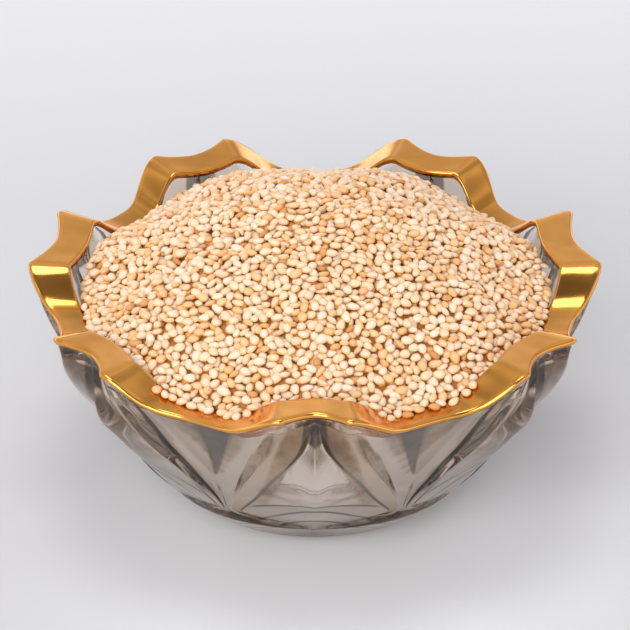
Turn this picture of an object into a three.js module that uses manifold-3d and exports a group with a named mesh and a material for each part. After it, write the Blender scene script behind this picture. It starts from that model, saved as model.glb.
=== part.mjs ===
// A pressed-glass dish with a seven-lobed gilded rim, heaped with roasted sesame seeds.
// Millimetres, +Z up. The origin is the centre of the flat base, on the surface it rests on,
// and the lobe in the middle of the front lies along -Y.
import * as THREE from 'three';
import Module from 'manifold-3d';

const wasm = await Module();
wasm.setup();

// ---- driving dimensions ----
const LOBES = 7;                 // lobes round the rim
const TIP_RADIUS = 75;           // each lobe ends in two corners, this far out
const TIP_HEIGHT = 62;
const TIP_ANGLE = 7.3;           // degrees from the middle of an even lobe to its corners
const NOTCH_RADIUS = 70.5;       // the shallow notch between the two corners
const NOTCH_HEIGHT = 61.6;
const VALLEY_RADIUS = 68.2;      // the low sweep between two lobes
const VALLEY_HEIGHT = 54;
const NOTCH_CURVE = 1.8;         // how sharply the notch closes
const VALLEY_CURVE = 1.3;        // how broad the valley is, seen from above
const VALLEY_DIP = 2.4;          // and how quickly the rim falls into it
// The lobes aren't quite even: where the middle of each lies, and how far its corners are from there.
const LOBE_MIDDLES = [0, 53.2, 102.5, 152, 208, 257.5, 306.8];
const LOBE_HALF_WIDTHS = [6.5, 7.5, 10.4, 7.95, 7.95, 10.4, 7.5];

const FLANGE_AT_TIP = 11;        // width of the flat rim, outer lip to inner edge
const FLANGE_AT_NOTCH = 8.7;
const FLANGE_AT_VALLEY = 8;
const FLANGE_FALL = 0.6;         // the inner edge lies this much lower
const LIP = 0.8;                 // rounding of both edges of the flange
const HEM = 1.8;                 // depth of the rolled outer lip
const NOSE_DEPTH = 1.9;          // depth of the rolled inner edge
const UNDERCUT = 0.3;            // and how far the wall draws back below it

const NODE_RADIUS = 51;          // where two ribs meet below each valley
const NODE_HEIGHT = 17;
const WEB_RADIUS = 45.5;         // facets between the nodes and the foot
const WEB_HEIGHT = 10.5;
const NODE_TOE = [49.3, 12.5];   // out, up
const FOOT_TOP = [38.5, 3];
const FOOT_RADIUS = 34.5;

const WELL = [[57.6, 46.5], [51.6, 35], [44, 24], [35.5, 14.5], [25, 9.2]]; // inside: out, up
const FLOOR = 8;                 // thickness of the bottom
const GAP = 0.5;                 // clearance between the seeds and the glass
const SLACK = 0.2;               // and a little more along the wall, whose faces aren't quite flat
const HEADROOM = 5;              // the cutting space reaches this far above the crown

const HEAP_TOP = 79.5;           // crown of the heap
const HEAP_EDGE = 55.6;          // mean height of its edge
const EDGE_SWING = 1.8;          // the edge rises at the lobes and falls in the valleys
const HEAP_RADIUS = 62;
const HEAP_CURVE = 1.8;
const SEED_PITCH = 2.58;         // sesame seeds are about 3.2 x 2.3 mm
const SEED_RELIEF = 0.55;        // how far a seed stands above and its gaps below the heap
const SEED_JITTER = 0.55;        // how far each seed lies from its place in the rows
const LEAST_GAP = 0.7;           // shares of the relief: the shallowest gap, the lowest seed
const LEAST_SEED = 0.5;          // and how much either varies
const GAP_SPREAD = 0.6;

const PERIOD = 360 / LOBES;
const HALF = PERIOD / 2;

// ---- helpers ----
const radians = (degrees) => degrees * Math.PI / 180;
const mix = (a, b, t) => a + (b - a) * t;

// A point at a radius, an angle from the middle of a lobe, and a height.
const polar = (radius, angle, height) => new THREE.Vector3(
  radius * Math.sin(radians(angle)), -radius * Math.cos(radians(angle)), height);

// Straight-line interpolation through [position, value] pairs.
function ramp(pairs, position) {
  for (let i = 1; i < pairs.length; i += 1) {
    if (position <= pairs[i][0]) {
      const [x0, y0] = pairs[i - 1];
      const [x1, y1] = pairs[i];
      return mix(y0, y1, (position - x0) / (x1 - x0));
    }
  }
  return pairs[pairs.length - 1][1];
}

// The azimuth at which a point of the evenly spaced dish really lies.
const lobeEnd = (lobe, side) => LOBE_MIDDLES[lobe % LOBES] + 360 * Math.floor(lobe / LOBES)
  + side * LOBE_HALF_WIDTHS[lobe % LOBES];
const AZIMUTHS = [];
for (let lobe = 0; lobe < LOBES; lobe += 1) {
  const [corner, nextCorner] = [lobeEnd(lobe, 1), lobeEnd(lobe + 1, -1)];
  AZIMUTHS.push([lobe * PERIOD, lobeEnd(lobe, 0)], [lobe * PERIOD + TIP_ANGLE, corner]);
  AZIMUTHS.push([lobe * PERIOD + HALF, (corner + nextCorner) / 2]);
  AZIMUTHS.push([(lobe + 1) * PERIOD - TIP_ANGLE, nextCorner]);
}
AZIMUTHS.push([360, 360]);
const uneven = (azimuth) => ramp(AZIMUTHS, ((azimuth % 360) + 360) % 360);

// ---- rim: radius, height and flange width at an angle from the middle of a lobe ----
function rim(angle) {
  if (angle < TIP_ANGLE) {
    const t = (angle / TIP_ANGLE) ** NOTCH_CURVE;
    return {
      radius: mix(NOTCH_RADIUS, TIP_RADIUS, t),
      height: mix(NOTCH_HEIGHT, TIP_HEIGHT, t),
      flange: mix(FLANGE_AT_NOTCH, FLANGE_AT_TIP, t),
    };
  }
  const u = (angle - TIP_ANGLE) / (HALF - TIP_ANGLE);
  const ease = 0.5 + 0.5 * Math.cos(Math.PI * u);
  const t = ease ** VALLEY_CURVE;
  return {
    radius: mix(VALLEY_RADIUS, TIP_RADIUS, t),
    height: mix(VALLEY_HEIGHT, TIP_HEIGHT, ease ** VALLEY_DIP),
    flange: mix(FLANGE_AT_VALLEY, FLANGE_AT_TIP, t),
  };
}

// ---- outside: lines that run from the rim down to the node, in half a lobe ----
// Each line gives its angle, radius and height at a few stations, from 0 at the rim to 1.
const STATIONS = [0, 0.22, 0.45, 0.72, 0.88, 1];
const hemPoint = (angle) => {
  const { radius, height } = rim(angle);
  return polar(radius - LIP, angle, height - HEM);
};
const node = polar(NODE_RADIUS, HALF, NODE_HEIGHT);

function line(hemAngle, angles, radii, heights) {
  const through = (values) => values.map((value, i) => [STATIONS[i + 1], value]);
  return (v) => (v === 0 ? hemPoint(hemAngle)
    : polar(ramp(through(radii), v), ramp(through(angles), v), ramp(through(heights), v)));
}

// the prow: the upright ridge down the middle of the lobe
const prow = line(0, [0, 0, 0, 0, 0], [69.9, 67.9, 59.5, 54.3, 50.8], [49.5, 40, 28.5, 22, NODE_HEIGHT]);
// the groove between the prow's panel and the rib
const GROOVE_HEM = 1.6;
const groove = line(
  GROOVE_HEM, [2.2, 7.4, 13, 17.3, 22], [67.2, 64, 56.8, 52.8, 50.8], [50, 40, 29, 22, NODE_HEIGHT]);
// the crest of the rib, from the corner of the lobe to the node
const crest = line(TIP_ANGLE, [10.2, 13.8, 19, 22.6, HALF], [71.8, 66.3, 58.8, 54, NODE_RADIUS],
  [50.5, 40, 29, 22, NODE_HEIGHT]);

// the shoulder of the rib: a steep flank next to the groove, then a flatter band up to the crest
const SHOULDER = 0.22;
const SHOULDER_LIFT = 0.6;
const SHOULDER_HEM = 3.4;
function shoulder(v) {
  if (v === 0) return hemPoint(SHOULDER_HEM);
  if (v === 1) return node.clone();
  const low = groove(v);
  const high = crest(v);
  const point = low.clone().lerp(high, SHOULDER);
  point.y = mix(low.y, high.y, SHOULDER_LIFT);
  return point;
}

// the flat pane on each side of the valley
const PANE_ANGLES = [10.5, 14, 18, 22, HALF];
const FLANK_ANGLES = [12.4, 16, 20.4, 23.6, HALF];
const FLANK_HEIGHTS = [50, 40, 29, 22, NODE_HEIGHT];
const pane = new THREE.Plane().setFromCoplanarPoints(hemPoint(PANE_ANGLES[0]), hemPoint(HALF), node);
function panePoint(v, columnAngle) {
  if (v === 0) return hemPoint(columnAngle);
  const station = STATIONS.indexOf(v) - 1;
  const across = (columnAngle - PANE_ANGLES[0]) / (HALF - PANE_ANGLES[0]);
  const angle = mix(FLANK_ANGLES[station], HALF, across);
  const height = mix(FLANK_HEIGHTS[station], mix(VALLEY_HEIGHT - HEM, NODE_HEIGHT, v), across);
  const direction = polar(1, angle, 0);
  const reach = -pane.constant - pane.normal.z * height;
  return polar(reach / pane.normal.dot(direction), angle, height);
}

const COLUMNS = [
  { angle: 0, at: prow },
  { angle: GROOVE_HEM, at: groove },
  { angle: SHOULDER_HEM, at: shoulder },
  { angle: TIP_ANGLE, at: crest },
  ...PANE_ANGLES.map((angle) => ({ angle, at: (v) => panePoint(v, angle) })),
];

// ---- closed rings: half a lobe is mirrored, then carried round the dish ----
function ringOf(halfLobe) {
  const last = halfLobe.length - 1;
  const ring = [];
  for (let lobe = 0; lobe < LOBES; lobe += 1) {
    for (let i = -last; i < last; i += 1) {
      const { x, y, z } = halfLobe[Math.abs(i)];
      const own = Math.atan2(x, -y) * 180 / Math.PI;
      ring.push(polar(Math.hypot(x, y), uneven(lobe * PERIOD + Math.sign(i) * own), z));
    }
  }
  return ring;
}
const ringAt = (radiusAndHeight) => ringOf(COLUMNS.map(({ angle }) => {
  const [radius, height] = radiusAndHeight(angle);
  return polar(radius, angle, height);
}));
const spreadRing = (radiusAndHeight) => ringOf(COLUMNS.map((column, i) => {
  const share = i / (COLUMNS.length - 1);
  const [radius, height] = radiusAndHeight(share);
  return polar(radius, share * HALF, height);
}));

// ---- a closed surface through a stack of rings, from one pole to the other ----
function loft(bottom, rings, top) {
  const keys = new Map();
  const positions = [];
  const triangles = [];
  const index = (point) => {
    const key = [point.x, point.y, point.z].map((value) => Math.round(value * 1e4)).join();
    if (!keys.has(key)) {
      keys.set(key, positions.length / 3);
      positions.push(point.x, point.y, point.z);
    }
    return keys.get(key);
  };
  const add = (...corners) => {
    const [a, b, c] = corners.map(index);
    if (a !== b && b !== c && c !== a) triangles.push(a, b, c);
  };
  const count = rings[0].length;
  for (let i = 0; i < count; i += 1) {
    const j = (i + 1) % count;
    add(bottom, rings[0][j], rings[0][i]);
    for (let r = 1; r < rings.length; r += 1) {
      const [lower, upper] = [rings[r - 1], rings[r]];
      add(lower[i], lower[j], upper[j]);
      add(lower[i], upper[j], upper[i]);
    }
    add(top, rings[rings.length - 1][i], rings[rings.length - 1][j]);
  }
  const geometry = new THREE.BufferGeometry();
  geometry.setAttribute('position', new THREE.Float32BufferAttribute(positions, 3));
  geometry.setIndex(triangles);
  geometry.computeVertexNormals();
  return geometry;
}

// ---- the dish: one piece of glass from foot to rim and down into the well ----
function dishGeometry() {
  const wall = STATIONS.map((v) => ringOf(COLUMNS.map(({ at }) => at(v)))).reverse();
  const edge = (outward, inward, drop) => ringAt((angle) => {
    const { radius, height, flange } = rim(angle);
    const inner = inward === null ? 0 : flange - inward;
    const fall = inward === null ? 0 : FLANGE_FALL;
    return [radius - outward - inner, height - fall - drop];
  });
  const rings = [
    spreadRing(() => [FOOT_RADIUS, 0]),
    spreadRing(() => FOOT_TOP),
    spreadRing((share) => [mix(WEB_RADIUS, NODE_TOE[0], share), mix(WEB_HEIGHT, NODE_TOE[1], share)]),
    ...wall,
    edge(0, null, LIP),
    edge(LIP, null, 0),
    edge(0, LIP, 0),
    edge(0, 0, LIP),
    edge(-UNDERCUT, 0, NOSE_DEPTH),
    ...WELL.map((point) => ringAt(() => point)),
  ];
  return loft(new THREE.Vector3(0, 0, 0), rings, new THREE.Vector3(0, 0, FLOOR));
}

// ---- the space that the seeds fill, clear of the glass, and open above ----
function wellGeometry() {
  const profile = [...WELL].reverse();
  const inside = profile.map(([radius, height], i) => {
    const [lastRadius, lastHeight] = i > 0 ? profile[i - 1] : [0, FLOOR];
    const slope = Math.hypot(radius - lastRadius, height - lastHeight);
    const inward = GAP * (height - lastHeight) / slope;
    const upward = GAP * (radius - lastRadius) / slope;
    return ringAt(() => [radius - inward - SLACK, height + upward]);
  });
  const throat = (drop) => ringAt((angle) => {
    const { radius, height, flange } = rim(angle);
    return [radius - flange - GAP, height - FLANGE_FALL - drop];
  });
  const ceiling = HEAP_TOP + HEADROOM;
  const above = ringAt((angle) => {
    const { radius, flange } = rim(angle);
    return [radius - flange - GAP, ceiling];
  });
  const rings = [...inside, throat(NOSE_DEPTH), throat(LIP), above];
  return loft(new THREE.Vector3(0, 0, FLOOR + GAP), rings, new THREE.Vector3(0, 0, ceiling));
}

// ---- the mound: a block whose top is the heap's dome with a bump for every seed ----
let seed = 20240611;
function random() {
  seed = (Math.imul(seed, 1664525) + 1013904223) >>> 0;
  return seed / 2 ** 32;
}
const either = (size) => size * (2 * random() - 1);

function domeHeight(x, y) {
  const angle = Math.atan2(x, -y);
  const edge = HEAP_EDGE + EDGE_SWING * Math.cos(LOBES * angle);
  const reach = Math.min(Math.hypot(x, y) / HEAP_RADIUS, 1.2);
  return edge + (HEAP_TOP - edge) * (1 - reach ** HEAP_CURVE);
}

function moundGeometry() {
  const cells = 2 * Math.ceil((HEAP_RADIUS + SEED_PITCH) / SEED_PITCH);
  const base = 0; // the cut takes away all that is below the well
  const positions = [];
  const triangles = [];
  const put = (x, y, z) => {
    positions.push(x, y, z);
    return positions.length / 3 - 1;
  };
  const place = (i) => (i - cells / 2) * SEED_PITCH;
  const low = [];
  const floor = [];
  for (let row = 0; row <= cells; row += 1) {
    low.push([]);
    floor.push([]);
    for (let column = 0; column <= cells; column += 1) {
      const rimCell = row % cells === 0 || column % cells === 0;
      const x = place(column) + (rimCell ? 0 : either(SEED_JITTER));
      const y = place(row) + (rimCell ? 0 : either(SEED_JITTER));
      const dip = SEED_RELIEF * (LEAST_GAP + GAP_SPREAD * random());
      low[row].push(put(x, y, domeHeight(x, y) - dip));
      floor[row].push(rimCell ? put(place(column), place(row), base) : null);
    }
  }
  for (let row = 0; row < cells; row += 1) {
    for (let column = 0; column < cells; column += 1) {
      const x = place(column + 0.5) + either(SEED_JITTER);
      const y = place(row + 0.5) + either(SEED_JITTER);
      const peak = put(x, y, domeHeight(x, y) + SEED_RELIEF * (LEAST_SEED + random()));
      const [near, far] = [low[row], low[row + 1]];
      const corners = [near[column], near[column + 1], far[column + 1], far[column]];
      corners.forEach((corner, i) => triangles.push(corner, corners[(i + 1) % 4], peak));
    }
  }
  const border = [];
  for (let i = 0; i < cells; i += 1) border.push([0, i]);
  for (let i = 0; i < cells; i += 1) border.push([i, cells]);
  for (let i = cells; i > 0; i -= 1) border.push([cells, i]);
  for (let i = cells; i > 0; i -= 1) border.push([i, 0]);
  const middle = put(0, 0, base);
  border.forEach(([row, column], i) => {
    const [nextRow, nextColumn] = border[(i + 1) % border.length];
    const [a, b] = [floor[row][column], floor[nextRow][nextColumn]];
    const [c, d] = [low[nextRow][nextColumn], low[row][column]];
    triangles.push(a, b, c, a, c, d, middle, b, a);
  });
  const geometry = new THREE.BufferGeometry();
  geometry.setAttribute('position', new THREE.Float32BufferAttribute(positions, 3));
  geometry.setIndex(triangles);
  return geometry;
}

// ---- cutting the mound to the space inside the dish ----
const solidOf = (geometry) => new wasm.Manifold(new wasm.Mesh({
  numProp: 3,
  vertProperties: new Float32Array(geometry.attributes.position.array),
  triVerts: new Uint32Array(geometry.index.array),
}));

function heapGeometry() {
  const mesh = solidOf(moundGeometry()).intersect(solidOf(wellGeometry())).getMesh();
  const geometry = new THREE.BufferGeometry();
  geometry.setAttribute('position', new THREE.Float32BufferAttribute(mesh.vertProperties, 3));
  geometry.setIndex(new THREE.Uint32BufferAttribute(mesh.triVerts, 1));
  geometry.computeVertexNormals();
  return geometry;
}

// ---- materials and the finished dish ----
const smokyGlass = new THREE.MeshStandardMaterial({
  color: 0xc8c2bc, roughness: 0.05, metalness: 0, transparent: true, opacity: 0.4,
});
const creamSeed = new THREE.MeshStandardMaterial({ color: 0xf0d6a8, roughness: 0.6, metalness: 0 });

function named(name, geometry, material) {
  const mesh = new THREE.Mesh(geometry, material);
  mesh.name = name;
  return mesh;
}

const dish = new THREE.Group();
dish.add(named('bowl', dishGeometry(), smokyGlass));
dish.add(named('seeds', heapGeometry(), creamSeed));

export default dish;
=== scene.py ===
"""A pressed-glass dish with a gilded seven-lobed rim, heaped with roasted sesame seeds."""
import math

import bpy
import numpy as np
from mathutils import Euler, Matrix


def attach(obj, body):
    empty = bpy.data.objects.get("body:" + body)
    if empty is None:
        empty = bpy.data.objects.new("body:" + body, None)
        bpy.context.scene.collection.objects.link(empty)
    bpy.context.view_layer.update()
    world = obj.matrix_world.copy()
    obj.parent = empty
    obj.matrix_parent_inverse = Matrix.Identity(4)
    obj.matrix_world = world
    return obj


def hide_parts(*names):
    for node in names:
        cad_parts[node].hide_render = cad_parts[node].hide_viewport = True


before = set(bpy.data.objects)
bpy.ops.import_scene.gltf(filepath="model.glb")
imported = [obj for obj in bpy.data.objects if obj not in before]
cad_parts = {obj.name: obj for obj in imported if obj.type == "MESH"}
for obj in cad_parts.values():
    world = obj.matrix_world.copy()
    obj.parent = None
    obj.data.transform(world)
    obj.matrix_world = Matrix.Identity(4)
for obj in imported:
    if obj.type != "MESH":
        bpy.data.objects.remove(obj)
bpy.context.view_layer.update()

MM = 0.001
RNG = np.random.default_rng(20240611)

# ---- the dish, in millimetres: the same rim, ribs and well as the plain solid ----
LOBES = 7
TIP_RADIUS, TIP_HEIGHT, TIP_ANGLE = 75.0, 62.0, 7.3
NOTCH_RADIUS, NOTCH_HEIGHT, NOTCH_CURVE = 70.5, 61.6, 1.8
VALLEY_RADIUS, VALLEY_HEIGHT, VALLEY_CURVE, VALLEY_DIP = 68.2, 54.0, 1.3, 2.4
LOBE_MIDDLES = np.array([0, 53.2, 102.5, 152, 208, 257.5, 306.8])
LOBE_HALF_WIDTHS = np.array([6.5, 7.5, 10.4, 7.95, 7.95, 10.4, 7.5])
FLANGE_AT_TIP, FLANGE_AT_NOTCH, FLANGE_AT_VALLEY = 11.0, 8.7, 8.0
FLANGE_FALL = 0.6
LIP = 0.8
HEM = 1.8
NODE_RADIUS, NODE_HEIGHT = 51.0, 17.0
WEB_RADIUS, WEB_HEIGHT = 45.5, 10.5
NODE_TOE = (49.3, 12.5)
FOOT_TOP = (38.5, 3.0)
FOOT_RADIUS = 34.5
WELL = ((57.6, 46.5), (51.6, 35.0), (44.0, 24.0), (35.5, 14.5), (25.0, 9.2))
FLOOR = 8.0
PERIOD = 360.0 / LOBES
HALF = PERIOD / 2

# ---- the heap ----
HEAP_TOP = 79.5
HEAP_EDGE = 55.6
EDGE_SWING = 1.8
HEAP_RADIUS = 62.0
HEAP_CURVE = 1.8
CORE_DEPTH = 2.9         # the core's top lies this far below the heap's outline
CORE_REACH = 0.2         # and its side this far into the glass
CORE_RELIEF = 0.45
LOOK_DOWN = 5.0          # the glass shows the core this much lower than where it's seen

SEED_SIZE = np.array([3.25, 2.35, 1.45])  # length, width and thickness
SEED_LIMIT = 6000


def mix(a, b, t):
    """The point at a share t of the way from a to b."""
    return a + (b - a) * t


def ramp_up(value, start, length):
    """0 up to the start, then rising to 1 over the length."""
    return np.clip((value - start) / length, 0, 1)


def polar(radius, angle, height):
    """Points at a radius, an angle in degrees from the middle of the front lobe, and a height."""
    turn = np.radians(angle)
    parts = np.broadcast_arrays(radius * np.sin(turn), -radius * np.cos(turn), height)
    return np.stack(parts, axis=-1).astype(float)


def uneven_knots():
    """Even azimuths and where they really lie: the lobes aren't quite evenly spaced or wide."""
    even, real = [], []
    for k in range(-1, LOBES + 1):
        turn = 360 * (k // LOBES)
        middle, half_width = LOBE_MIDDLES[k % LOBES] + turn, LOBE_HALF_WIDTHS[k % LOBES]
        even += [k * PERIOD - TIP_ANGLE, k * PERIOD, k * PERIOD + TIP_ANGLE, k * PERIOD + HALF]
        real += [middle - half_width, middle, middle + half_width, None]
    for i in range(3, len(real) - 1, 4):
        real[i] = (real[i - 1] + real[i + 1]) / 2
    return np.array(even[:-1]), np.array(real[:-1], float)


EVEN, REAL = uneven_knots()


def rim(angle):
    """Radius, height and flange width at angles from the middle of a lobe."""
    angle = np.abs(angle)
    near = np.clip(angle / TIP_ANGLE, 0, 1) ** NOTCH_CURVE
    sweep = ramp_up(angle, TIP_ANGLE, HALF - TIP_ANGLE)
    ease = 0.5 + 0.5 * np.cos(np.pi * sweep)
    far, fall = ease ** VALLEY_CURVE, ease ** VALLEY_DIP
    lobe = angle < TIP_ANGLE
    radius = np.where(lobe, mix(NOTCH_RADIUS, TIP_RADIUS, near), mix(VALLEY_RADIUS, TIP_RADIUS, far))
    height = np.where(lobe, mix(NOTCH_HEIGHT, TIP_HEIGHT, near), mix(VALLEY_HEIGHT, TIP_HEIGHT, fall))
    flange = np.where(
        lobe, mix(FLANGE_AT_NOTCH, FLANGE_AT_TIP, near), mix(FLANGE_AT_VALLEY, FLANGE_AT_TIP, far))
    return radius, height, flange


def hem_point(angle):
    """Points where the outside meets the lip of the rim."""
    radius, height, _ = rim(angle)
    return polar(radius - LIP, angle, height - HEM)


# ---- lines of the outside, from the hem (0) down to the nodes (1), in half a lobe ----
STATIONS = np.array([0, 0.22, 0.45, 0.6, 0.72, 0.88, 1])
APEX = 3                 # the station where the small facet under each valley ends
CORNER = 2               # the station where the small facet under each tip ends


def line(hem_angle, angles, radii, heights):
    """A line through the hem and one (angle, radius, height) at each later station."""
    later = STATIONS[[1, 2, 4, 5, 6]]
    at = STATIONS[1:]
    points = polar(np.interp(at, later, radii), np.interp(at, later, angles), np.interp(at, later, heights))
    return np.vstack([hem_point(hem_angle)[None], points])


HEIGHTS = [50, 40, 29, 22, NODE_HEIGHT]
GROOVE_HEM = 0.7
SHOULDER_HEM = 2.6
SHOULDER, SHOULDER_LIFT = 0.22, 0.6
prow = line(0, [0, 0, 0, 0, 0], [69.9, 67.9, 59.5, 54.3, 50.8], [49.5, 40, 28.5, 22, NODE_HEIGHT])
groove = line(GROOVE_HEM, [2.0, 7.4, 13, 17.3, 22], [67.9, 64, 56.8, 52.8, 50.8], HEIGHTS)
crest = line(
    TIP_ANGLE, [10.2, 13.8, 19, 22.6, 24.4], [71.8, 66.3, 58.8, 54, 51.1], [50.5, 40, 29, 22, NODE_HEIGHT])
shoulder = mix(groove, crest, SHOULDER)
shoulder[:, 1] = mix(groove[:, 1], crest[:, 1], SHOULDER_LIFT)
shoulder[0] = hem_point(SHOULDER_HEM)

PANE_HEM = 10.5
NOSE_DEPTH, UNDERCUT = 1.9, 0.3
pane_a, pane_b = hem_point(PANE_HEM), hem_point(HALF)
pane_c = polar(NODE_RADIUS, HALF, NODE_HEIGHT)
pane_normal = np.cross(pane_b - pane_a, pane_c - pane_a)
valley_heights = mix(VALLEY_HEIGHT - HEM, NODE_HEIGHT, STATIONS)


def on_pane(hem_angle, angles, heights):
    """A line that lies in the flat pane beside the valley."""
    angles, heights = np.asarray(angles, float), np.asarray(heights, float)
    direction = polar(1.0, angles, 0.0)
    reach = (pane_normal @ pane_a - pane_normal[2] * heights) / (direction @ pane_normal)
    points = polar(reach, angles, heights)
    points[0] = hem_point(hem_angle)
    return points


FLUTE_HEM = 13.0
flute = on_pane(
    FLUTE_HEM, [13, 14.2, 16.4, 18.8, 20.6, 23.6, 24.9], [58, 50, 40, 33.9, 29, 22, NODE_HEIGHT])
valley = on_pane(HALF, np.full(7, HALF), valley_heights)
FACET_HEM = 16.2
FACET_SHARE = 0.88       # of the way from the flute to the valley
facet = mix(flute, valley, FACET_SHARE)
facet[0] = hem_point(FACET_HEM)
for s in range(1, APEX):
    facet[s] = mix(facet[0], facet[APEX], STATIONS[s] / STATIONS[APEX])
middle = mix(flute, facet, 0.5)
middle[0] = hem_point(mix(FLUTE_HEM, FACET_HEM, 0.5))
VALLEY_CUT = (0, 1.3, 1.0, 0.1, 0.3, 0.3, 0)
valley -= polar(1.0, HALF, 0.0) * np.array(VALLEY_CUT)[:, None]
CORNER_HEM = 10.6
CORNER_SHARE = 0.12      # of the way from the crest to the flute
CORNER_CUT, CORNER_ANGLE = 0.7, 11.0
corner = mix(crest, flute, CORNER_SHARE)
corner[0] = hem_point(CORNER_HEM)
corner[1] = mix(corner[0], corner[CORNER], STATIONS[1] / STATIONS[CORNER])
corner[1] -= polar(CORNER_CUT, CORNER_ANGLE, 0.0)
FLUTE_HALF_WIDTH, FLUTE_DEPTH, FLUTE_ANGLE = 0.65, 0.55, 17.0
LEAST_SPAN, WIDEST_SHARE = 0.001, 0.45


def beside(a, b, distance):
    """The line at a distance from line a on the way to line b."""
    span = np.linalg.norm(b - a, axis=1, keepdims=True)
    return a + (b - a) * np.minimum(distance / np.maximum(span, LEAST_SPAN), WIDEST_SHARE)


flute_in, flute_out = beside(flute, corner, FLUTE_HALF_WIDTH), beside(flute, middle, FLUTE_HALF_WIDTH)
cut_flute = flute.copy()
cut_flute[1:-1] -= polar(FLUTE_DEPTH, FLUTE_ANGLE, 0.0)


def curve(points, rows):
    """A smooth curve through the stations' points, sampled at each row."""
    slopes = np.gradient(points, STATIONS, axis=0)
    span = np.clip(np.searchsorted(STATIONS, rows, side="right") - 1, 0, len(STATIONS) - 2)
    width = (STATIONS[span + 1] - STATIONS[span])[:, None]
    t = ((rows - STATIONS[span])[:, None]) / width
    start = (1 + 2 * t) * (1 - t) ** 2 * points[span] + t * (1 - t) ** 2 * width * slopes[span]
    end = t * t * (3 - 2 * t) * points[span + 1] + t * t * (t - 1) * width * slopes[span + 1]
    return start + end


WALL_ROWS = 46
wall_rows = np.linspace(0, 1, WALL_ROWS)
FLUTE_SIDE = 0.5         # degrees at the hem on either side of a flute


def half_wall(flute_line):
    """The angle at the hem of each column of half a lobe's outside, and its rows down to the nodes."""
    # hem angle, line, and the number of columns from it to the next line
    keys = (
        (0.0, prow, 14), (GROOVE_HEM, groove, 5), (SHOULDER_HEM, shoulder, 5), (TIP_ANGLE, crest, 4),
        (CORNER_HEM, corner, 4), (FLUTE_HEM - FLUTE_SIDE, flute_in, 2), (FLUTE_HEM, flute_line, 2),
        (FLUTE_HEM + FLUTE_SIDE, flute_out, 4), (mix(FLUTE_HEM, FACET_HEM, 0.5), middle, 4),
        (FACET_HEM, facet, 5), (HALF, valley, 0))
    hem_angles, columns = [], []
    for (hem_a, a, steps), (hem_b, b, _) in zip(keys[:-1], keys[1:]):
        curve_a, curve_b = curve(a, wall_rows), curve(b, wall_rows)
        for k in range(steps):
            hem_angles.append(mix(hem_a, hem_b, k / steps))
            columns.append(mix(curve_a, curve_b, k / steps))
    hem_angles = np.array(hem_angles + [HALF])
    rows = np.stack(columns + [curve(valley, wall_rows)], axis=1)
    fade = np.clip(1 - wall_rows / STATIONS[1], 0, 1) ** 2
    rows += (hem_point(hem_angles) - rows[0])[None] * fade[:, None, None]
    return hem_angles, rows


angles, plain_wall = half_wall(flute)
wall = half_wall(cut_flute)[1]
BACK_DIP, BACK_SPREAD = 1.2, 20.0     # the valley at the back lies a little lower
BACK_DIP_FROM, BACK_DIP_OVER = 30.0, 24.0


def back_dip(angle, height):
    """How far the rim is lowered at an azimuth and a height."""
    away = np.clip(np.abs(np.abs(angle) - 180) / BACK_SPREAD, 0, 1)
    return BACK_DIP * (0.5 + 0.5 * np.cos(np.pi * away)) * ramp_up(height, BACK_DIP_FROM, BACK_DIP_OVER)


def around(half_rows, front_rows=None):
    """Rows of half a lobe, mirrored and turned round the dish; the front lobe may have its own."""
    turned = []
    for k in range(LOBES):
        own_rows = front_rows if k == 0 and front_rows is not None else half_rows
        mirrored = own_rows[:, :0:-1] * np.array([-1, 1, 1])
        lobe = np.concatenate([mirrored, own_rows[:, :-1]], axis=1)
        own = np.degrees(np.arctan2(lobe[..., 0], -lobe[..., 1]))
        reach = np.hypot(lobe[..., 0], lobe[..., 1])
        azimuth = np.interp(own + k * PERIOD, EVEN, REAL)
        lowered = lobe[..., 2] - back_dip((azimuth + 180) % 360 - 180, lobe[..., 2])
        turned.append(polar(reach, azimuth, lowered))
    return np.concatenate(turned, axis=1)


# ---- rows of half a lobe: foot, rim and well; the shares say how far along a stretch a row lies ----
FOLLOW_WALL = 0.6        # how far the columns of the foot keep the wall's spacing
UNDERSIDE_RADII = (8, 16, 24, 31, 33.7)
FOOT_EDGE = ((-0.2, 0.15), (0.4, 0.6))    # past the foot's radius, and height
FOOT_SHARES, NODE_SHARES = (0.3, 0.6, 0.85, 1.0), (0.15, 0.35, 0.6, 0.85)
WEB_ROWS = 16
share = mix(np.linspace(0, 1, len(angles)), angles / HALF, FOLLOW_WALL)
foot_angles = share * HALF
half_foot = [polar(r, foot_angles, 0.0) for r in UNDERSIDE_RADII]
half_foot += [polar(FOOT_RADIUS + past, foot_angles, z) for past, z in FOOT_EDGE]
web = polar(mix(WEB_RADIUS, NODE_TOE[0], share), foot_angles, mix(WEB_HEIGHT, NODE_TOE[1], share))
foot_top = polar(FOOT_TOP[0], foot_angles, FOOT_TOP[1])
half_foot += [mix(half_foot[-1], foot_top, t) for t in FOOT_SHARES]
first_web = len(half_foot)
half_foot += [mix(foot_top, web, (k + 1) / WEB_ROWS) for k in range(WEB_ROWS)]
half_foot += [mix(web, wall[-1], t) for t in NODE_SHARES]

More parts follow.
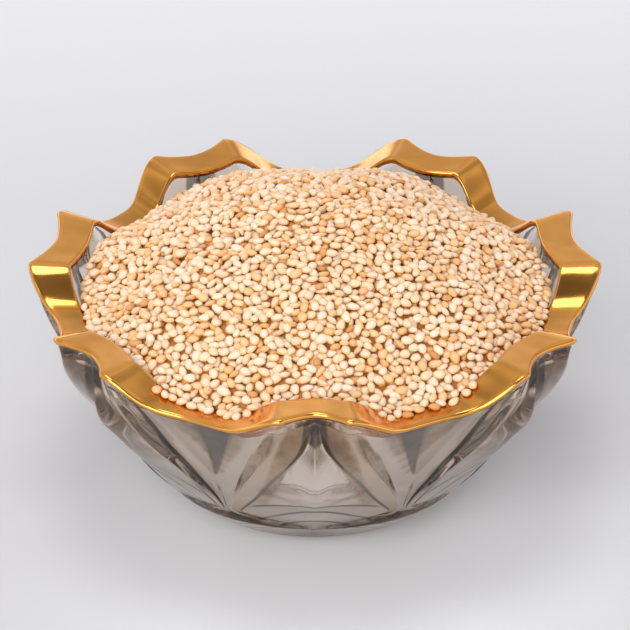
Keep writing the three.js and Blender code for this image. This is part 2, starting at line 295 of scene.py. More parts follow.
ROUND = np.radians([0, 20, 40, 60, 75, 90])       # the rows round either side of the lip
FLANGE_SHARES = (0.12, 0.3, 0.5, 0.7, 0.88)
BEND_IN, BEND_DROP = 0.25 * LIP, LIP + 0.35       # between the hem and the lip's round
INNER_BEND_OUT, INNER_BEND_DROP = 0.1, 1.35 * LIP  # between the inner round and the undercut
radius, height, flange = rim(angles)
inner_radius, inner_height = radius - flange, height - FLANGE_FALL
half_edge = [polar(radius - BEND_IN, angles, height - BEND_DROP)]
for t in ROUND:
    half_edge.append(polar(radius - LIP * (1 - math.cos(t)), angles, height - LIP * (1 - math.sin(t))))
for t in FLANGE_SHARES:
    half_edge.append(polar(radius - LIP - t * (flange - 2 * LIP), angles, height - FLANGE_FALL * t))
for t in ROUND:
    inward, down = LIP * (1 - math.sin(t)), LIP * (1 - math.cos(t))
    half_edge.append(polar(inner_radius + inward, angles, inner_height - down))
half_edge.append(polar(inner_radius + INNER_BEND_OUT, angles, inner_height - INNER_BEND_DROP))
nose = polar(inner_radius + UNDERCUT, angles, inner_height - NOSE_DEPTH)
half_edge.append(nose)

WELL_STEPS = (9, 8, 8, 7, 6)
FLOOR_SHARES = (0.2, 0.4, 0.6, 0.8)
AXIS_RADIUS = 0.001
half_well = []
previous = nose
for (well_radius, well_height), steps in zip(WELL, WELL_STEPS):
    ring = polar(well_radius, angles, well_height)
    half_well += [mix(previous, ring, k / steps) for k in range(1, steps + 1)]
    previous = ring
half_well += [mix(previous, polar(AXIS_RADIUS, angles, FLOOR), t) for t in FLOOR_SHARES]

foot_grid, edge_grid, well_grid = (around(np.array(rows)) for rows in (half_foot, half_edge, half_well))
wall_grid = around(wall[::-1], plain_wall[::-1])
glass_grid = np.concatenate([foot_grid, wall_grid, edge_grid, well_grid])
HEM_ROW = len(foot_grid) + len(wall_grid) - 1
NOSE_ROW = HEM_ROW + len(edge_grid)
FIELD = 128              # cells across a noise, after which it repeats
RIPPLE_SALT, RELIEF_SALT, OUTLINE_SALT, SPILL_SALT = 21, 5, 11, 12


def bumps(x, y, pitch, salt):
    """Smooth noise from -1 to 1 with lumps of about the pitch's size."""
    field = np.random.default_rng(salt).uniform(-1, 1, (FIELD, FIELD))
    u, v = x / pitch + FIELD / 2, y / pitch + FIELD / 2
    i, j = np.floor(u).astype(int), np.floor(v).astype(int)
    fu, fv = u - i, v - j
    fu, fv = fu * fu * (3 - 2 * fu), fv * fv * (3 - 2 * fv)
    i, j, next_i, next_j = i % FIELD, j % FIELD, (i + 1) % FIELD, (j + 1) % FIELD
    low = mix(field[i, j], field[next_i, j], fu)
    high = mix(field[i, next_j], field[next_i, next_j], fu)
    return mix(low, high, fv)


SOFTNESS = 0.5
WALL_PASSES, WELL_PASSES = 1, 6
BELOW_NOSE, ABOVE_FLOOR = 4, 2        # rows that stay crisp
FLANGE_START = 3                      # rows from the hem
RIPPLE, RIPPLE_PITCH = 0.07, 4.0      # the flange is slightly wavy


def soften(grid, first, last, passes):
    """Rounds the edges between facets, as fire polishing does, in rows first to last."""
    for _ in range(passes):
        beside_it = np.roll(grid, 1, axis=1) + np.roll(grid, -1, axis=1)
        above_below = grid[first - 1:last - 1] + grid[first + 1:last + 1]
        mean = (beside_it[first:last] + above_below) / 4
        grid[first:last] = mix(grid[first:last], mean, SOFTNESS)


soften(glass_grid, first_web + 1, HEM_ROW, WALL_PASSES)
soften(glass_grid, NOSE_ROW + BELOW_NOSE, len(glass_grid) - ABOVE_FLOOR, WELL_PASSES)
flange_part = glass_grid[HEM_ROW + FLANGE_START:NOSE_ROW]
flange_part[..., 2] += RIPPLE * bumps(flange_part[..., 0], flange_part[..., 1], RIPPLE_PITCH, RIPPLE_SALT)


def mesh_object(name, vertices, faces, smooth=True):
    """A mesh in metres from vertices in millimetres and faces of three or four corners."""
    mesh = bpy.data.meshes.new(name)
    mesh.vertices.add(len(vertices))
    mesh.vertices.foreach_set("co", (np.asarray(vertices) * MM).astype(np.float32).ravel())
    sizes = np.concatenate([np.full(len(f), f.shape[1]) for f in faces])
    corners = np.concatenate([f.ravel() for f in faces])
    mesh.loops.add(len(corners))
    mesh.loops.foreach_set("vertex_index", corners.astype(np.int32))
    mesh.polygons.add(len(sizes))
    starts = np.concatenate([[0], np.cumsum(sizes)[:-1]])
    mesh.polygons.foreach_set("loop_start", starts.astype(np.int32))
    mesh.polygons.foreach_set("use_smooth", np.full(len(sizes), smooth))
    mesh.update(calc_edges=True)
    mesh.validate()
    obj = bpy.data.objects.new(name, mesh)
    bpy.context.scene.collection.objects.link(obj)
    return obj


def vertex_values(obj, name, values, rest=0.0):
    """Gives a piece an attribute: these values on its first vertices, and one number on the rest."""
    held = np.full(len(obj.data.vertices), rest, dtype=np.float32)
    held[:np.size(values)] = np.ravel(values)
    obj.data.attributes.new(name, "FLOAT", "POINT").data.foreach_set("value", held)


def sheet_faces(rows, count, closed_rows=False):
    """Quads between rows of a ring grid."""
    r = np.arange(rows if closed_rows else rows - 1)
    i = np.arange(count)
    r, i = np.meshgrid(r, i, indexing="ij")
    j, up = (i + 1) % count, (r + 1) % rows
    return np.stack([r * count + i, r * count + j, up * count + j, up * count + i], axis=-1).reshape(-1, 4)


def capped(grid, bottom, top):
    """Vertices and faces of a closed surface through ring rows, with a point at either end."""
    rows, count = grid.shape[:2]
    vertices = np.vstack([grid.reshape(-1, 3), [bottom, top]])
    i = np.arange(count)
    j = (i + 1) % count
    low = np.stack([np.full(count, rows * count), j, i], axis=1)
    last = (rows - 1) * count
    high = np.stack([last + i, last + j, np.full(count, rows * count + 1)], axis=1)
    return vertices, [sheet_faces(rows, count), low, high]


LEAST_LENGTH = 1e-9


def grid_normals(grid):
    """Outward unit normals of a ring grid."""
    along = np.roll(grid, -1, axis=1) - np.roll(grid, 1, axis=1)
    normal = np.cross(along, np.gradient(grid, axis=0))
    return normal / np.maximum(np.linalg.norm(normal, axis=-1, keepdims=True), LEAST_LENGTH)


# ---- glass, gilding and the core of the heap ----
dish_glass = mesh_object("dish_glass", *capped(glass_grid, (0, 0, 0), (0, 0, FLOOR)))

# painted light on the glass's outside: a tan painted reflection on the ribs, and painted shade in dark lines
# and on the facets under the valleys
RIB_REFLECTION, DARK_LINE = (0.80, 0.67, 0.52), (0.08, 0.07, 0.06)
FRONT_FACET_SHADE, FACET_SHADE = (0.13, 0.115, 0.105), (0.75, 0.71, 0.68)
GROOVE_EDGE = SHOULDER_HEM - 0.2
FACET_EDGE = FACET_HEM + 0.1
PEAK_ROWS, PEAK_ANGLE = 0.2, 1.2      # the peak of the panel between the grooves, darkened with painted shade
FLUTE_LINE = 0.55                     # half width of a flute's line of painted shade, in degrees at the hem


def half_painted_light(front):
    """Painted light on half a lobe's outside: painted reflection on the ribs, painted shade on edges, peak,
    flutes and valley facets.
    """
    painted_light = np.ones((WALL_ROWS, len(angles), 3))
    painted_light[:, (angles > GROOVE_HEM) & (angles <= TIP_ANGLE)] = RIB_REFLECTION
    painted_light[1:, (angles > GROOVE_HEM) & (angles < GROOVE_EDGE)] = DARK_LINE
    above_apex = wall_rows < STATIONS[APEX]
    painted_light[above_apex[:, None] & (angles > FACET_EDGE)[None]] = FRONT_FACET_SHADE if front else FACET_SHADE
    painted_light[(wall_rows < PEAK_ROWS)[:, None] & (angles < PEAK_ANGLE)[None]] = DARK_LINE
    if not front:
        painted_light[2:, np.abs(angles - FLUTE_HEM) < FLUTE_LINE] = DARK_LINE
    return painted_light


def share_of_lobe(rows):
    """How far each point of half a lobe's rows lies from the lobe's middle (0) to the node (1)."""
    return np.abs(np.degrees(np.arctan2(rows[..., 0], -rows[..., 1]))) / HALF


def half_marks(rows, creased):
    """Share of the lobe and whether creases show, for half a lobe's rows."""
    return np.stack([share_of_lobe(rows), np.broadcast_to(creased, rows.shape[:2])], axis=-1)


def mirrored_lobe(half):
    """Values of a whole lobe from those of its half."""
    return np.concatenate([half[:, :0:-1], half[:, :-1]], axis=1)


# the painted reflection and painted shade of every lobe, kept on the glass as a colour
lobes_painted_light = np.concatenate([mirrored_lobe(half_painted_light(k == 0)[::-1]) for k in range(LOBES)], axis=1)
glass_painted_light = np.ones((len(dish_glass.data.vertices), 4), dtype=np.float32)
first_wall = len(foot_grid) * glass_grid.shape[1]
glass_painted_light[first_wall:first_wall + lobes_painted_light.shape[0] * lobes_painted_light.shape[1], :3] = lobes_painted_light.reshape(-1, 3)
dish_glass.data.attributes.new("painted_light", "FLOAT_COLOR", "POINT").data.foreach_set("color", glass_painted_light.ravel())
low_marks = mirrored_lobe(half_marks(np.array(half_foot), 1.0))
wall_marks = mirrored_lobe(half_marks(wall, (angles < GROOVE_HEM).astype(float))[::-1])
marks = np.tile(np.concatenate([low_marks, wall_marks]), (1, LOBES, 1))
vertex_values(dish_glass, "across", marks[..., 0])
vertex_values(dish_glass, "creased", marks[..., 1])

GILDING_OUT, GILDING_IN = 0.05, 0.12
gilded = slice(HEM_ROW, NOSE_ROW + 1)
normals = grid_normals(glass_grid)[gilded]
outer = glass_grid[gilded] + normals * GILDING_OUT
inner = glass_grid[gilded] - normals * GILDING_IN
shell = np.concatenate([outer, inner[::-1]])
rim_gilding = mesh_object(
    "rim_gilding", shell.reshape(-1, 3), [sheet_faces(len(shell), shell.shape[1], closed_rows=True)])

OUTLINE_LIMIT = 1.2      # of the heap's radius, where its outline stops falling
RELIEF_PITCH = 2.3
SIDE_ROWS, TOP_ROWS = 44, 72
LEAST_RISE = 1e-6


def dome(x, y):
    """Height of the heap's outline."""
    edge = HEAP_EDGE + EDGE_SWING * np.cos(LOBES * np.arctan2(x, -y))
    reach = np.minimum(np.hypot(x, y) / HEAP_RADIUS, OUTLINE_LIMIT)
    return edge + (HEAP_TOP - edge) * (1 - reach ** HEAP_CURVE)


def core_top(x, y):
    """Height of the core's uneven top, under the loose seeds."""
    return dome(x, y) - CORE_DEPTH + CORE_RELIEF * bumps(x, y, RELIEF_PITCH, RELIEF_SALT)


def cut_at_brim(column, brim_heights):
    """A column of the core's side that ends where it reaches the top's edge."""
    above = np.flatnonzero(column[:, 2] > brim_heights)
    first = above[0] if len(above) else len(column) - 1
    a, b = column[first - 1], column[first]
    rise_a, rise_b = a[2] - brim_heights[first - 1], b[2] - brim_heights[first]
    end = mix(a, b, min(max(-rise_a / max(rise_b - rise_a, LEAST_RISE), 0), 1))
    return np.vstack([column[:first], np.tile(end, (len(column) - first, 1))])


def even_steps(column, rows):
    """Points at even steps along a column."""
    step = np.linalg.norm(np.diff(column, axis=0), axis=1)
    travelled = np.concatenate([[0], np.cumsum(step)])
    wanted = np.linspace(0, travelled[-1], rows)
    return np.stack([np.interp(wanted, travelled, column[:, axis]) for axis in range(3)], axis=-1)


side = (glass_grid - grid_normals(glass_grid) * CORE_REACH)[NOSE_ROW:][::-1]
side[0, :, 2] = FLOOR - CORE_REACH
brim_height = dome(side[..., 0], side[..., 1]) - CORE_DEPTH
column_count = side.shape[1]
core_side = np.stack([
    even_steps(cut_at_brim(side[:, i], brim_height[:, i]), SIDE_ROWS) for i in range(column_count)], axis=1)
top_rows = []
for shrink in np.linspace(1, 0, TOP_ROWS + 1)[1:-1]:
    x, y = core_side[-1, :, 0] * shrink, core_side[-1, :, 1] * shrink
    top_rows.append(np.stack([x, y, core_top(x, y)], axis=-1))
core_grid = np.concatenate([core_side, top_rows])
core_bottom = (0, 0, FLOOR - CORE_REACH)
core_peak = (0, 0, float(core_top(np.zeros(1), np.zeros(1))[0]))
heap_core = mesh_object("heap_core", *capped(core_grid, core_bottom, core_peak))

# ---- loose seeds, dropped one by one where the heap is lowest below its outline ----
CELL = 0.25
REACH = 70.0
CELLS = int(2 * REACH / CELL) + 1
SPILL = 2.8              # seeds lie this far over the flange in the valleys
SPILL_HEIGHT = 58.2      # where it's lower than this
SPILL_FALL = 2.5         # and fully where it's lower by this much more
NO_SPILL = -1.6          # elsewhere they end this far inside the flange
SPILL_AZIMUTH, SPILL_FADE, SPILL_ASIDE = 42.0, 20.0, 0.4   # but hardly to the sides and the back
SPILL_PITCH, SPILL_RAGGED = 3.1, 0.6  # the spill's edge is ragged
LAYER = 1.25             # one seed thick
FLANGE_MARGIN, LEAST_SPILL = 1.0, 0.6   # a layer lies from here outwards, where the spill is this wide
UNDER_OUTLINE = 0.35     # seeds are dropped up to this far below the outline
UNEVEN, UNEVEN_PITCH = 0.55, 7.0
BACK_RISE = 0.9          # the heap stands this much higher before the valley at the back
BACK_RISE_PLACE, BACK_RISE_WIDTH, BACK_RISE_DEPTH = 50.0, 24.0, 12.0
NOWHERE = -1000          # the wanted height where no seed should go
FAINT = 0.25             # random change of the wanted height
axis_values = np.linspace(-REACH, REACH, CELLS)
grid_x, grid_y = np.meshgrid(axis_values, axis_values, indexing="ij")
grid_r = np.hypot(grid_x, grid_y)
azimuth = np.degrees(np.arctan2(grid_x, -grid_y))
lobe_angle = np.interp(azimuth % 360, REAL, EVEN)
lobe_angle = np.abs((lobe_angle + HALF) % PERIOD - HALF)
rim_r, rim_h, rim_f = rim(lobe_angle)
mouth = rim_r - rim_f
mouth_height = rim_h - FLANGE_FALL - back_dip(azimuth, rim_h)
wall_height = mix(WELL[0][1], mouth_height - NOSE_DEPTH, ramp_up(grid_r, WELL[0][0], mouth - WELL[0][0]))
surface = np.maximum(core_top(grid_x, grid_y), wall_height)
surface = np.where(grid_r > mouth, mouth_height, surface).astype(np.float32)
spill = mix(NO_SPILL, SPILL, np.clip((SPILL_HEIGHT - mouth_height) / SPILL_FALL, 0, 1))
spill = mix(spill, np.minimum(spill, SPILL_ASIDE), ramp_up(np.abs(azimuth), SPILL_AZIMUTH, SPILL_FADE))
outline = dome(grid_x, grid_y) - UNDER_OUTLINE + UNEVEN * bumps(grid_x, grid_y, UNEVEN_PITCH, OUTLINE_SALT)
outline += BACK_RISE * np.exp(
    -(grid_x / BACK_RISE_WIDTH) ** 2 - ((grid_y - BACK_RISE_PLACE) / BACK_RISE_DEPTH) ** 2)
on_flange = (grid_r > mouth - FLANGE_MARGIN) & (spill > LEAST_SPILL)
outline = np.where(on_flange, np.maximum(outline, mouth_height + LAYER - UNDER_OUTLINE), outline)
inside = grid_r < mouth + spill + SPILL_RAGGED * bumps(grid_x, grid_y, SPILL_PITCH, SPILL_SALT)
target = np.where(inside, outline, NOWHERE).astype(np.float32)
target += RNG.uniform(-FAINT, FAINT, surface.shape).astype(np.float32)

WINDOW = 8               # cells each way from a seed's centre
offsets = np.arange(-WINDOW, WINDOW + 1) * CELL
off_x, off_y = np.meshgrid(offsets, offsets, indexing="ij")
MARGIN, BAND = 3, 3      # a slope is taken between two bands of cells inside the window's margin
BAND_DISTANCE = (2 * WINDOW + 1 - 2 * MARGIN - BAND) * CELL
STEEPEST = 0.8
TILT = 0.13              # how unevenly a lying seed tilts, in radians
ON_EDGE, ROLL = 0.1, (0.7, 1.5)       # the share of seeds on their edge, and how far they roll
SIZE_SPREAD, SHAPE_SPREAD = 0.06, 0.05
JITTER = 3               # cells from the lowest spot
TRIES = 5
SINK = 82                # a seed settles until this percentile of its underside touches
ENOUGH = 0.24            # the heap is full where it's no lower than this
PROUD = 0.9              # a seed's top may stand this far above the outline
CLOSED = 2               # cells round a spot where no seed fits any more
JUST_FILLED = 0.4        # a spot that has got a seed counts as this much higher


def random_rotation(slope_x, slope_y, on_edge):
    """Columns are the seed's long, wide and thin axes; it lies along the slope with some tilt."""
    tilt_x, tilt_y = RNG.normal(0, TILT, 2)
    up = np.array([-slope_x + tilt_x, -slope_y + tilt_y, 1.0])
    up /= np.linalg.norm(up)
    yaw = RNG.uniform(0, 2 * math.pi)
    long = np.array([math.cos(yaw), math.sin(yaw), 0.0])
    long -= up * (long @ up)
    long /= np.linalg.norm(long)
    wide = np.cross(up, long)
    if on_edge:
        roll = RNG.uniform(*ROLL) * RNG.choice([-1, 1])
        up, wide = up * math.cos(roll) + wide * math.sin(roll), wide * math.cos(roll) - up * math.sin(roll)
    return np.stack([long, wide, up], axis=1)


def profile(rotation, half):
    """Bottom and top of an ellipsoid over the window, and where it has any."""
    form = rotation @ np.diag(1 / half ** 2) @ rotation.T
    b = form[0, 2] * off_x + form[1, 2] * off_y
    c = form[0, 0] * off_x ** 2 + 2 * form[0, 1] * off_x * off_y + form[1, 1] * off_y ** 2 - 1
    under_root = b * b - form[2, 2] * c
    there = under_root > 0
    root = np.sqrt(np.where(there, under_root, 0))
    return (-b - root) / form[2, 2], (-b + root) / form[2, 2], there


def block(i, j, reach):
    """The cells up to a reach from a cell."""
    return slice(max(i - reach, 0), i + reach + 1), slice(max(j - reach, 0), j + reach + 1)


def near_cell(cell):
    """A random cell close to this one, with room for the window round it."""
    moved = cell + int(RNG.integers(-JITTER, JITTER + 1))
    return min(max(moved, WINDOW + 1), CELLS - WINDOW - 2)


def slope_under(patch):
    """The slope of the heap along x and y around a spot."""
    near = patch[MARGIN:-MARGIN, MARGIN:-MARGIN]
    slope_x = float(near[-BAND:].mean() - near[:BAND].mean()) / BAND_DISTANCE
    slope_y = float(near[:, -BAND:].mean() - near[:, :BAND].mean()) / BAND_DISTANCE
    steep = math.hypot(slope_x, slope_y)
    if steep > STEEPEST:
        slope_x, slope_y = slope_x * STEEPEST / steep, slope_y * STEEPEST / steep
    return slope_x, slope_y


def settle(ci, cj, half, on_edge):
    """Lets a seed settle near a cell: how far it stands out, where and how it lies, and its top."""
    i, j = near_cell(ci), near_cell(cj)
    patch = surface[block(i, j, WINDOW)]
    rotation = random_rotation(*slope_under(patch), on_edge)
    low, high, there = profile(rotation, half)
    rest = float(np.percentile((patch - low)[there], SINK))
    over = rest + float(high[there].max()) - float(outline[i, j])
    return over, i, j, rest, rotation, high, there


centres, rotations, halves = [], [], []
deficit = target - surface
while len(centres) < SEED_LIMIT:
    ci, cj = divmod(int(deficit.argmax()), CELLS)
    if deficit[ci, cj] < ENOUGH:
        break
    size = RNG.normal(1, SIZE_SPREAD)
    half = SEED_SIZE / 2 * size * RNG.normal(1, SHAPE_SPREAD, 3)
    on_edge = RNG.random() < ON_EDGE
    ways = [settle(ci, cj, half, on_edge) for _ in range(TRIES)]
    over, i, j, rest, rotation, high, there = min(ways, key=lambda way: way[0])
    if over > PROUD:
        closed = block(ci, cj, CLOSED)
        target[closed] = NOWHERE
        deficit[closed] = NOWHERE
        continue
    window = block(i, j, WINDOW)
    surface[window] = np.where(there, np.maximum(surface[window], rest + high), surface[window])
    deficit[window] = target[window] - surface[window]
    deficit[ci, cj] -= JUST_FILLED
    centres.append((axis_values[i], axis_values[j], rest))
    rotations.append(rotation)
    halves.append(half)
centres, rotations, halves = np.array(centres), np.array(rotations), np.array(halves)

COVERED = 0.05           # how far below the heap's surface a seed counts as covered
SHOWN = 0.12             # seeds less open than this are drawn with fewer faces


def openness(centre, rotation, half):
    """How much of a seed is open to the sky."""
    i, j = (int(round((place + REACH) / CELL)) for place in centre[:2])
    _, high, there = profile(rotation, half)
    patch = surface[block(i, j, WINDOW)]
    return float(((centre[2] + high) > patch - COVERED)[there].mean())


open_share = np.array([openness(*seed) for seed in zip(centres, rotations, halves)])
PLUMP, DRAWN_OUT, BLUNT = 0.9, 0.2, 0.1


def seed_template(around_count, along_count):
    """A plump seed of half-sizes 1, drawn out to a blunt point at one end."""
    turn = np.arange(around_count) * 2 * np.pi / around_count
    rings = []
    for value in np.linspace(0, np.pi, along_count + 1)[1:-1]:
        along = math.cos(value)
        girth = math.sin(value) ** PLUMP * (1 - DRAWN_OUT * along - BLUNT * along * along)
        rings.append(np.stack([
            np.full(around_count, along), girth * np.cos(turn), girth * np.sin(turn)], axis=-1))
    vertices = np.vstack([np.concatenate(rings), [[1, 0, 0], [-1, 0, 0]]])
    faces = []
    last = (along_count - 2) * around_count
    tip, tail = len(vertices) - 2, len(vertices) - 1
    for i in range(around_count):
        j = (i + 1) % around_count
        faces.append((tip, i, j))
        faces.append((tail, last + j, last + i))
        for r in range(along_count - 2):
            a, b = r * around_count, (r + 1) * around_count
            faces += [(a + i, b + i, b + j), (a + i, b + j, a + j)]
    return vertices, np.array(faces)


def seed_object(name, chosen, tones, template):
    """One mesh of many seeds, with each one's tone as an attribute."""
    shape, faces = template
    placed = np.einsum("nij,nj,vj->nvi", rotations[chosen], halves[chosen], shape) + centres[chosen][:, None]
    shifted = faces[None] + (np.arange(len(chosen)) * len(shape))[:, None, None]
    obj = mesh_object(name, placed.reshape(-1, 3), [shifted.reshape(-1, 3)])
    vertex_values(obj, "edge", np.tile(1 - np.abs(shape[:, 2]), len(chosen)))
    vertex_values(obj, "tone", np.repeat(tones, len(shape)))
    return obj


whole = seed_template(around_count=11, along_count=7)
plain = seed_template(around_count=8, along_count=4)
shown, hidden = np.flatnonzero(open_share > SHOWN), np.flatnonzero(open_share <= SHOWN)
RNG.shuffle(shown)
KINDS = (("pale", 0.36), ("cream", 0.43), ("golden", 0.185), ("toasted", 0.025))   # shares of those shown
seeds, start = {}, 0
for kind, portion in KINDS:
    stop = len(shown) if kind == KINDS[-1][0] else start + int(round(portion * len(shown)))
    chosen = shown[start:stop]
    seeds[kind] = seed_object("seeds_" + kind, chosen, RNG.random(len(chosen)), whole)
    start = stop
seeds["buried"] = seed_object("seeds_buried", hidden, RNG.random(len(hidden)), plain)


# ---- materials ----
def fill(tree, target, inputs):
    """Sets a node's inputs, by name or number, to numbers, colours or other nodes' outputs."""
    for key, value in inputs.items():
        socket = target.inputs[key]
        if isinstance(value, bpy.types.NodeSocket):
            tree.links.new(value, socket)
        elif socket.type == "RGBA":
            socket.default_value = (*value, 1)
        else:
            socket.default_value = value


def node(tree, kind, inputs, **settings):
    """A new node with its settings and inputs."""
    made = tree.nodes.new(kind)
    for name, value in settings.items():
        setattr(made, name, value)
    fill(tree, made, inputs)
    return made


def material(name):
    """A new material and its node tree."""
    made = bpy.data.materials.new(name)
    made.use_nodes = True
    return made, made.node_tree


def surface_of(tree, inputs):
    """Sets the inputs of a material's shader."""
    fill(tree, tree.nodes["Principled BSDF"], inputs)


def place_on(tree, output="Object"):
    """Where on the piece, or in which direction, a point lies."""
    return node(tree, "ShaderNodeTexCoord", {}).outputs[output]


def part_of(tree, vector, axis):
    """One coordinate of a place."""
    return node(tree, "ShaderNodeSeparateXYZ", {"Vector": vector}).outputs[axis]


def attribute(tree, name, output="Fac"):
    """What the piece holds under a name at each vertex."""
    return node(tree, "ShaderNodeAttribute", {}, attribute_name=name).outputs[output]


def colour_ramp(tree, value, stops):
    """Colours along a value, from stops of a place and a colour."""
    ramp = node(tree, "ShaderNodeValToRGB", {"Fac": value})
    elements = ramp.color_ramp.elements
    while len(elements) < len(stops):
        elements.new(0.5)
    for element, (place, colour) in zip(elements, stops):
        element.position = place
        element.color = (*colour, 1)
    return ramp.outputs["Color"]


def noise(tree, place, scale, detail):
    """A noise over a place."""
    inputs = {"Vector": place, "Scale": scale, "Detail": detail}
    return node(tree, "ShaderNodeTexNoise", inputs).outputs["Fac"]


def speckle(tree, low, high, scale, detail, spread):
    """A noise over the piece that ramps between two colours."""
    stops = ((0.5 - spread, low), (0.5 + spread, high))
    return colour_ramp(tree, noise(tree, place_on(tree), scale, detail), stops)


def maths(tree, operation, *values):
    """A math node on sockets or numbers."""
    return node(tree, "ShaderNodeMath", dict(enumerate(values)), operation=operation).outputs["Value"]


def mapped(tree, value, source, result=(0.0, 1.0), easing="SMOOTHSTEP"):
    """A value carried from one range to another."""
    inputs = {
        "Value": value, "From Min": source[0], "From Max": source[1],
        "To Min": result[0], "To Max": result[1]}
    return node(tree, "ShaderNodeMapRange", inputs, interpolation_type=easing).outputs["Result"]


def blended(tree, factor, a, b, blend="MIX"):
    """One colour blended with another as far as the factor says."""
    inputs = {"Factor": factor, "A": a, "B": b}
    return node(tree, "ShaderNodeMix", inputs, data_type="RGBA", blend_type=blend).outputs["Result"]


def tinted(tree, factor, a, b):
    """One colour multiplied by another as far as the factor says."""
    return blended(tree, factor, a, b, "MULTIPLY")


def scaled(tree, vector, scale):
    """A colour made brighter or darker."""
    inputs = {0: vector, "Scale": scale}
    return node(tree, "ShaderNodeVectorMath", inputs, operation="SCALE").outputs["Vector"]


# height at the middle, height at the node, bow and half width of the creases above the foot, lines of
# painted shade
CREASES = ((23.5, 17.4, 1.6, 0.6), (21.0, 8.5, 1.4, 0.75), (10.0, 15.4, 1.6, 0.8), (15.5, 5.0, 1.3, 0.75),
           (3.4, 3.8, 1.0, 0.7))
CREASE_HEART = 0.3       # the share of a crease's half width that is fully dark with painted shade


def crease(tree, across, height, at_middle, at_node, bow, width):
    """1 on a line that runs from a height at a lobe's middle to one at its node, 0 beside it."""
    bent = maths(tree, "POWER", across, bow)
    level = maths(tree, "MULTIPLY_ADD", bent, (at_node - at_middle) * MM, at_middle * MM)
    apart = maths(tree, "ABSOLUTE", maths(tree, "SUBTRACT", height, level))
    return mapped(tree, apart, (CREASE_HEART * width * MM, width * MM), (1.0, 0.0))


GLASS_LOW, GLASS_HIGH = (0.93, 0.915, 0.9), (0.97, 0.96, 0.95)
GLASS_INDEX, GLASS_ROUGHNESS = 1.5, 0.02
SMOKE_CAST, SMOKE_DENSITY = (0.7, 0.58, 0.48), 14.0


def smoky_glass():
    """Clear glass with a smoky cast, painted reflection and painted shade on its facets, and creases of
    painted shade above the foot.
    """
    made, tree = material("smoky_glass")
    cast = speckle(tree, GLASS_LOW, GLASS_HIGH, scale=30, detail=2, spread=0.3)
    cast_and_painted_light = tinted(tree, 1.0, cast, attribute(tree, "painted_light", "Color"))
    height, across = part_of(tree, place_on(tree), "Z"), attribute(tree, "across")
    strength = 0.0
    # the creases above the foot are painted shade: dark lines in the glass's colour
    for numbers in CREASES:
        strength = maths(tree, "MAXIMUM", crease(tree, across, height, *numbers), strength)
    strength = maths(tree, "MULTIPLY", strength, attribute(tree, "creased"))
    surface_of(tree, {
        "Base Color": tinted(tree, strength, cast_and_painted_light, DARK_LINE), "Transmission Weight": 1.0,
        "Roughness": GLASS_ROUGHNESS, "IOR": GLASS_INDEX})
    smoke = node(tree, "ShaderNodeVolumeAbsorption", {"Color": SMOKE_CAST, "Density": SMOKE_DENSITY})
    fill(tree, tree.nodes["Material Output"], {"Volume": smoke.outputs["Volume"]})
    return made


# the gold's own tones, and the painted shade that darkens it in the valleys
GOLD_LOW, GOLD_HIGH, VALLEY_SHADE = (0.62, 0.262, 0.046), (0.86, 0.40, 0.09), (0.74, 0.74, 0.66)
GOLD_ROUGHNESS = 0.14


def gilding():
    """Polished gold, darkened with painted shade in the valleys."""
    made, tree = material("gilding")
    tone = speckle(tree, GOLD_LOW, GOLD_HIGH, scale=60, detail=4, spread=0.35)
    surface_of(tree, {
        "Base Color": tinted(tree, attribute(tree, "shaded"), tone, VALLEY_SHADE), "Metallic": 1.0,
        "Roughness": GOLD_ROUGHNESS})
    return made


TONES = {
    "pale": ((0.86, 0.69, 0.51), (0.89, 0.75, 0.60)),
    "cream": ((0.85, 0.63, 0.41), (0.88, 0.69, 0.50)),
    "golden": ((0.80, 0.49, 0.22), (0.85, 0.57, 0.31)),
    "toasted": ((0.62, 0.29, 0.09), (0.72, 0.38, 0.14)),
    # seeds buried under the others take a darker, warmer tone: painted shade of the gaps between the seeds
    "buried": ((0.74, 0.38, 0.10), (0.82, 0.48, 0.17)),
}
# the warmer colour round a seed's edge is painted warm shade
MOTTLE, EDGE_WARM_SHADE = (0.93, 0.9, 0.86), (1.0, 0.69, 0.33)
EDGE_FOCUS, HUSK_ROUGHNESS = 1.7, 0.45


def husk(kind, dark, light):
    """A seed's skin: its own tone, faintly mottled, with painted warm shade round its edge."""
    made, tree = material("seed_" + kind)
    own_tone = blended(tree, attribute(tree, "tone"), dark, light)
    mottle = speckle(tree, MOTTLE, (1, 1, 1), scale=900, detail=2, spread=0.25)
    mottled = tinted(tree, 1.0, own_tone, mottle)
    girdle = maths(tree, "POWER", attribute(tree, "edge"), EDGE_FOCUS)
    surface_of(tree, {"Base Color": tinted(tree, girdle, mottled, EDGE_WARM_SHADE), "Roughness": HUSK_ROUGHNESS})
    return made


# the glint's pale colour is a painted reflection; the streaks behind the ribs are painted brown shade
GLINT_LOW, GLINT_HIGH = (0.94, 0.85, 0.77), (0.98, 0.91, 0.84)
SHADE_STREAK_LOW, SHADE_STREAK_HIGH = (0.34, 0.23, 0.14), (0.86, 0.68, 0.50)
GLINT_ROUGHNESS = 0.1


def wall_glint():
    """The wall's inner glint as a pale painted reflection and part-mirror on the heap's side, with painted
    brown shade streaks behind the ribs.
    """
    made, tree = material("wall_glint")
    glint_tone = speckle(tree, GLINT_LOW, GLINT_HIGH, scale=120, detail=3, spread=0.3)
    streaks = speckle(tree, SHADE_STREAK_LOW, SHADE_STREAK_HIGH, scale=160, detail=4, spread=0.2)
    surface_of(tree, {
        "Base Color": blended(tree, attribute(tree, "shaded_brown"), glint_tone, streaks),
        "Metallic": attribute(tree, "mirror"), "Roughness": GLINT_ROUGHNESS})
    return made


# painted shade: the dark orange brown seen in the gaps between the loose seeds
GAP_SHADE_LOW, GAP_SHADE_HIGH = (0.54, 0.22, 0.05), (0.70, 0.34, 0.10)
CORE_ROUGHNESS, CORE_SHEEN = 0.8, 0.1


